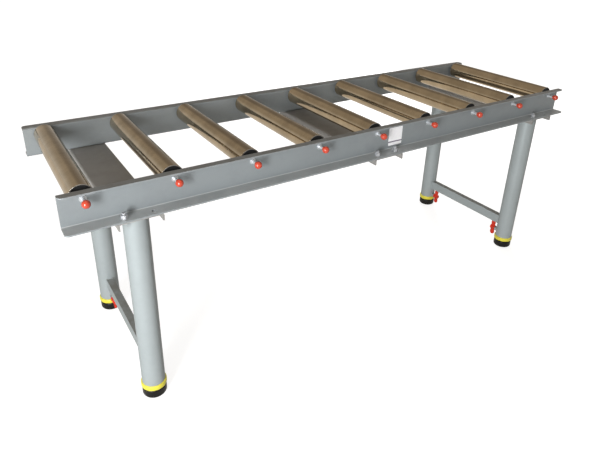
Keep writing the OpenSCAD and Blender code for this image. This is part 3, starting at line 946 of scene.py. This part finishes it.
def addWing(bm, settings, length, tip, sign):
    halfWide, halfRoot, steps = settings["wingWide"] / 2, settings["rootWide"] / 2, settings["tipSteps"]
    outline = [(halfRoot, 0)]
    for k in range(steps + 1):  # from the root out round the tip and back
        turn = math.pi * k / steps
        outline.append((halfWide * math.cos(turn), tip - halfWide + halfWide * math.sin(turn)))
    outline.append((-halfRoot, 0))
    layers = []
    for place, inset in settings["slices"]:
        x, across, along = place * settings["wingThick"], 1 - inset, 1 - inset * settings["tipInset"]
        layers.append([bm.verts.new((x, length / 2 + y * across, sign * z * along)) for y, z in outline])
    closeRings(bm, layers)


def makeKnobMesh(settings, length, span):
    # hub and wings run into each other: a voxel remesh joins them and smoothing rounds the joints
    bm = bmesh.new()
    addHub(bm, settings, length)
    for sign in (1, -1):
        addWing(bm, settings, length, span / 2, sign)
    piece = newObject("wingKnobForm", meshFrom(bm, "wingKnob"))
    remesh = piece.modifiers.new("join", "REMESH")
    remesh.mode = "VOXEL"
    remesh.voxel_size = settings["voxel"]
    smooth = piece.modifiers.new("soften", "SMOOTH")
    smooth.iterations = settings["smoothing"]
    shaped = bpy.data.meshes.new_from_object(piece.evaluated_get(bpy.context.evaluated_depsgraph_get()))
    bpy.data.objects.remove(piece)
    return shaped


def makeKnobs(settings):
    low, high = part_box("front_left_wing_knob")
    form = makeKnobMesh(settings, high.y - low.y, high.z - low.z)
    for corner in corners:
        low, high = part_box(corner + "_wing_knob")
        centre = (low + high) / 2
        if centre.y < 0:
            face, turn = low.y, Matrix.Identity(4)
        else:
            face, turn = high.y, Matrix.Rotation(math.pi, 4, "Z")
        mesh = form.copy()
        mesh.name = corner + "_knob_form"
        mesh.transform(Matrix.Translation((centre.x, face, centre.z)) @ turn)
        piece = newPiece(corner + "_knob_form", mesh, "knob_plastic", corner + "_knob")
        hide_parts(corner + "_wing_knob")


makeKnobs(knobSettings)
print("knobs made")


# Floor, lights and surroundings

def mirrorRays(tree):
    # the camera's rays, and those that mirror-like or clear faces send on
    rays = addNode(tree, "ShaderNodeLightPath").outputs
    seen = calc(tree, "ADD", rays["Is Camera Ray"], rays["Is Glossy Ray"])
    return calc(tree, "ADD", seen, rays["Is Transmission Ray"], clamp=True)


floorSettings = {
    "half": 60.0,
    "colour": (0.42, 0.42, 0.42, 1.0),
    "glow": (0.80, 0.92),  # added for the camera and for mirror-like faces, near the table and far away
    "fade": (1.2, 4.0),  # where the one glow turns into the other
    "mirrored": (0.53, 0.485, 0.42, 1.0),  # the glow's colour as mirror-like faces see it
    "step": 1 * mm,  # height over the lowest foot that makes a quarter see-through
}


def makeFloorPaint(settings):
    material = bpy.data.materials.new("paleFloor")
    material.use_nodes = True
    tree = material.node_tree
    tree.nodes.clear()
    matt = addNode(tree, "ShaderNodeBsdfDiffuse", {"Color": settings["colour"]})
    away = vectorCalc(tree, "LENGTH", restPlace(tree), output=1)
    level = times(tree, mirrorRays(tree), remap(tree, away, *settings["fade"], *settings["glow"]))
    rays = addNode(tree, "ShaderNodeLightPath").outputs
    colour = mixColour(tree, rays["Is Camera Ray"], settings["mirrored"], white)
    glow = addNode(tree, "ShaderNodeEmission", {"Color": colour, "Strength": level})
    both = addNode(tree, "ShaderNodeAddShader", {0: matt.outputs[0], 1: glow.outputs[0]})
    over = 0.0  # how far this quarter lies above the lowest foot
    for corner in corners:
        leg = frame["bodies"][corner + "_leg"]
        place = addNode(tree, "ShaderNodeTexCoord", object=leg).outputs["Object"]
        over = calc(tree, "MAXIMUM", component(tree, place, 2), over)
    through = times(tree, calc(tree, "GREATER_THAN", over, settings["step"]),
                    calc(tree, "ADD", rays["Is Camera Ray"], rays["Is Shadow Ray"]))
    clear = addNode(tree, "ShaderNodeBsdfTransparent")
    floor = addNode(tree, "ShaderNodeMixShader", {0: through, 1: both.outputs[0], 2: clear.outputs[0]})
    addNode(tree, "ShaderNodeOutputMaterial", {"Surface": floor.outputs[0]})
    return material


def makeFloor(settings):
    # each quarter goes down with its own foot, and one left above a lowered foot doesn't hide it
    paint = makeFloorPaint(settings)
    half = settings["half"]
    for corner in corners:
        x = half if "right" in corner else -half
        y = half if "back" in corner else -half
        mesh = bpy.data.meshes.new(corner + "_floor")
        face = (0, 1, 2, 3) if x * y > 0 else (3, 2, 1, 0)  # so that each one faces up
        mesh.from_pydata([(0, 0, 0), (x, 0, 0), (x, y, 0), (0, y, 0)], [], [face])
        mesh.materials.append(paint)
        quarter = newObject(corner + "_floor", mesh)
        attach(quarter, corner + "_leg")


lampAim = (-0.4, 0.0, 0.5)
lampSettings = {
    "keyLamp": {"place": (-2.75, -2.1, 1.0), "size": (0.7, 1.7), "power": 118.0, "mirrored": True},
    "fillLamp": {"place": (1.6, -3.2, 1.3), "size": (2.4, 2.4), "power": 1.5, "mirrored": True},
    # lights the side that the photo doesn't show
    "backLamp": {"place": (2.6, 2.7, 0.95), "size": (1.6, 1.6), "power": 80.0, "mirrored": False},
}


def makeLamp(name, settings):
    data = bpy.data.lights.new(name, "AREA")
    data.shape = "RECTANGLE"
    data.size, data.size_y = settings["size"]
    data.energy = settings["power"]
    lamp = newObject(name, data)
    lamp.location = settings["place"]
    lamp.rotation_euler = (Vector(lampAim) - Vector(settings["place"])).to_track_quat("-Z", "Y").to_euler()
    lamp.visible_glossy = settings["mirrored"]


roomSettings = {
    "rim": (0.19, 0.20, 0.21, 1.0),  # low band all round
    "ceiling": (0.32, 0.285, 0.245, 1.0),
    "ceilingFrom": (0.05, 0.4),  # heights between which the rim gives way to the ceiling
    "window": (0.14, 0.15, 0.16, 1.0),  # added on the key lamp's side
    "windowWay": (-0.72, -0.66, 0.2),
    "windowFrom": (0.2, 0.95),
    "backdrop": (0.64, 0.63, 0.61, 1.0),  # the backdrop as mirror-like faces see it
    "roof": (0.40, 0.355, 0.30, 1.0),
    "roofFrom": (0.05, 0.45),  # heights between which the backdrop gives way to the roof
    "dark": (0.12, 0.10, 0.085, 1.0),  # a dark part of the room behind the table
    "darkWay": (0.45, 0.80, 0.40),
    "darkFrom": (0.86, 0.97),
    "darkAmount": 0.6,
    "overhead": 0.8,  # a soft panel straight above
    "overheadFrom": (0.93, 0.975),
}


def makeSurroundings(settings):
    # a dim warm room, and a white backdrop that the camera sees and mirror-like faces see dimmed
    world = bpy.data.worlds.new("studio")
    bpy.context.scene.world = world
    world.use_nodes = True
    tree = world.node_tree
    tree.nodes.clear()
    direction = addNode(tree, "ShaderNodeTexCoord").outputs["Generated"]
    height = component(tree, direction, 2)
    upper = remap(tree, height, *settings["ceilingFrom"])
    room = mixColour(tree, upper, settings["rim"], settings["ceiling"])
    side = vectorCalc(tree, "DOT_PRODUCT", direction, settings["windowWay"], output=1)
    room = mixColour(tree, remap(tree, side, *settings["windowFrom"]), room, settings["window"], "ADD")
    upper = remap(tree, height, *settings["roofFrom"])
    mirrored = mixColour(tree, upper, settings["backdrop"], settings["roof"])
    behind = vectorCalc(tree, "DOT_PRODUCT", direction, settings["darkWay"], output=1)
    behind = times(tree, remap(tree, behind, *settings["darkFrom"]), settings["darkAmount"])
    mirrored = mixColour(tree, behind, mirrored, settings["dark"])
    room = mixColour(tree, mirrorRays(tree), room, mirrored)
    overhead = times(tree, remap(tree, height, *settings["overheadFrom"]), settings["overhead"])
    room = mixColour(tree, overhead, room, white)
    seen = mixColour(tree, addNode(tree, "ShaderNodeLightPath").outputs["Is Camera Ray"], room, white)
    sky = addNode(tree, "ShaderNodeBackground", {"Color": seen, "Strength": 1.0})
    addNode(tree, "ShaderNodeOutputWorld", {"Surface": sky.outputs[0]})


makeFloor(floorSettings)
for lampName, lamp in lampSettings.items():
    makeLamp(lampName, lamp)
makeSurroundings(roomSettings)
bpy.context.scene.view_settings.view_transform = "Standard"
print("stage lit")
